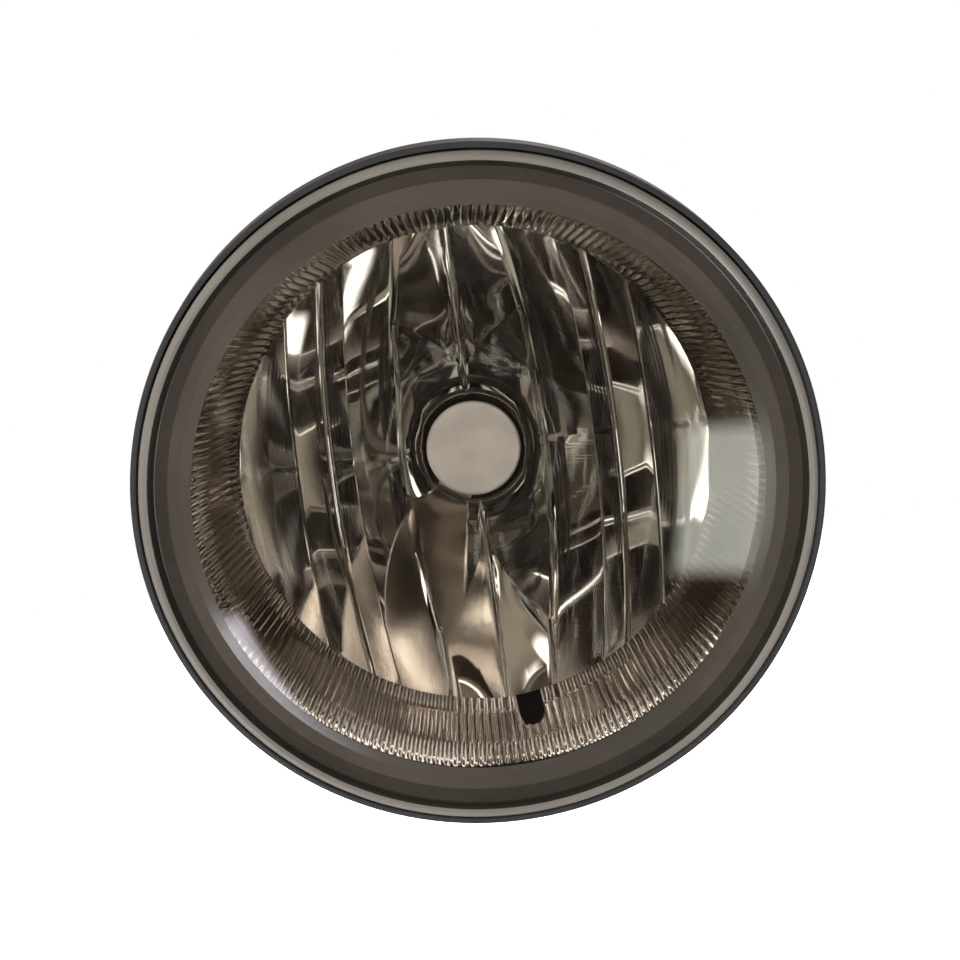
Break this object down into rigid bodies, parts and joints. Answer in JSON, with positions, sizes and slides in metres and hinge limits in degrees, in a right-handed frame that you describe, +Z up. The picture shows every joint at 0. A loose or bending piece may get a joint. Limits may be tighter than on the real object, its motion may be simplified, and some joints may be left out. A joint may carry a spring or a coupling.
{
  "type": "fog light",
  "caption": "Round clear-glass fog light with a fluted bezel, strip-faceted reflector, glare shield and twist-lock bulb, swinging in a steel yoke with a rear aim screw.",
  "frame": {"origin": "centre of the bracket pad's top face", "axes": "+Z up out of the pad, -Y the way the lamp shines, +X to the side"},
  "size_m": [0.12, 0.097, 0.1194],
  "materials": {
    "lens": "clear moulded glass, faint green cast",
    "lens_seal": "dull black",
    "bezel_ring": "aluminised plastic with fine radial flutes",
    "reflector": "vacuum aluminised",
    "bulb_shield": "satin plated",
    "shield_rivet_1": "plain",
    "shield_rivet_2": "plain",
    "housing": "black, fine moulded grain",
    "reflector_screw_1": "zinc plated",
    "reflector_screw_2": "zinc plated",
    "reflector_screw_3": "zinc plated",
    "vent_cap": "dull black",
    "pivot_screw_left": "zinc plated",
    "pivot_screw_right": "zinc plated",
    "bulb_base": "dark glass-filled plastic",
    "bulb_seal_ring": "red silicone",
    "bulb_collar": "bright",
    "bulb_glass": "clear quartz",
    "filament": "drawn tungsten",
    "filament_support_left": "drawn wire",
    "filament_support_right": "drawn wire",
    "terminal_left": "tinned brass",
    "terminal_right": "tinned brass",
    "bracket": "black powder coat",
    "pivot_bush_left": "natural nylon",
    "pivot_bush_right": "natural nylon",
    "adjuster_grommet": "natural nylon",
    "adjuster_screw": "yellow passivated",
    "adjuster_clip": "blackened spring steel",
    "adjuster_nut": "natural nylon"
  },
  "bodies": {
    "bracket": {"bracket": "bracket", "pivot_bush_left": "pivot_bush_left", "pivot_bush_right": "pivot_bush_right", "adjuster_grommet": "adjuster_grommet"},
    "lamp": {"lens": "lens", "lens_seal": "lens_seal", "bezel_ring": "bezel_ring", "reflector": "reflector", "bulb_shield": "bulb_shield", "shield_rivet_1": "shield_rivet_1", "shield_rivet_2": "shield_rivet_2", "housing": "housing", "reflector_screw_1": "reflector_screw_1", "reflector_screw_2": "reflector_screw_2", "reflector_screw_3": "reflector_screw_3", "vent_cap": "vent_cap", "pivot_screw_left": "pivot_screw_left", "pivot_screw_right": "pivot_screw_right"},
    "bulb": {"bulb_base": "bulb_base", "bulb_seal_ring": "bulb_seal_ring", "bulb_collar": "bulb_collar", "bulb_glass": "bulb_glass", "filament": "filament", "filament_support_left": "filament_support_left", "filament_support_right": "filament_support_right", "terminal_left": "terminal_left", "terminal_right": "terminal_right"},
    "aim_screw": {"adjuster_screw": "adjuster_screw", "adjuster_clip": "adjuster_clip"},
    "aim_nut": {"adjuster_nut": "adjuster_nut"}
  },
  "joints": [
    {"name": "aim_tilt", "type": "hinge", "parent": "bracket", "child": "lamp", "pos_m": [0, -0.004, -0.052], "axis": [1, 0, 0], "range_deg": [-4, 4]},
    {"name": "aim_screw_spin", "type": "hinge", "parent": "bracket", "child": "aim_screw", "pos_m": [0, 0.02, -0.015], "axis": [0, 1, 0], "range_deg": [-470, 470]},
    {"name": "aim_nut_travel", "type": "slide", "parent": "bracket", "child": "aim_nut", "axis": [0, 1, 0], "range_m": [-0.0027, 0.0027]},
    {"name": "bulb_twist", "type": "hinge", "parent": "lamp", "child": "bulb", "pos_m": [0, 0.02, -0.052], "axis": [0, 1, 0], "range_deg": [0, 45]}
  ],
  "couplings": [
    {"joint": "aim_nut_travel", "follows": "aim_tilt", "m_per_rad": -0.037},
    {"joint": "aim_screw_spin", "follows": "aim_tilt", "ratio": 116.24}
  ]
}
